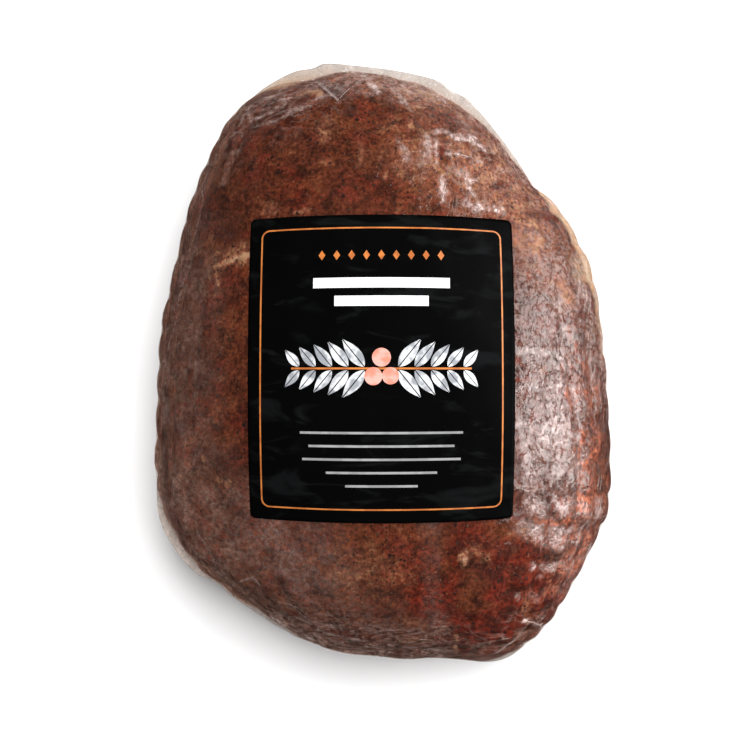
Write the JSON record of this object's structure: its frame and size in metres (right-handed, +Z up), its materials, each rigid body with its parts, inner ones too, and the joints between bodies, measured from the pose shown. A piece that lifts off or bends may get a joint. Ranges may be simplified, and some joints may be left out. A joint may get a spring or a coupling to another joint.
{
  "type": "vacuum-sealed whole smoked ham",
  "caption": "Whole boneless smoked ham, shrink-sealed in a clear bag with a free film edge at its widest line, and a label curved over its top.",
  "frame": {"origin": "middle of the bounding box, on the surface that the ham lies on", "axes": "+Z up, +Y along the length towards the narrow end, X across the width"},
  "size_m": [0.2266, 0.2996, 0.1333],
  "materials": {
    "ham_in_clear_film": "dark red-brown smoked meat with pepper specks, seen through tight glossy film",
    "black_label": "black printed film, satin, with plain shapes in white, orange and pink",
    "clear_film": "clear shrink film, glossy, with fine wrinkles"
  },
  "bodies": {
    "root": {"sealed_ham": "ham_in_clear_film", "label": "black_label"}
  },
  "joints": []
}
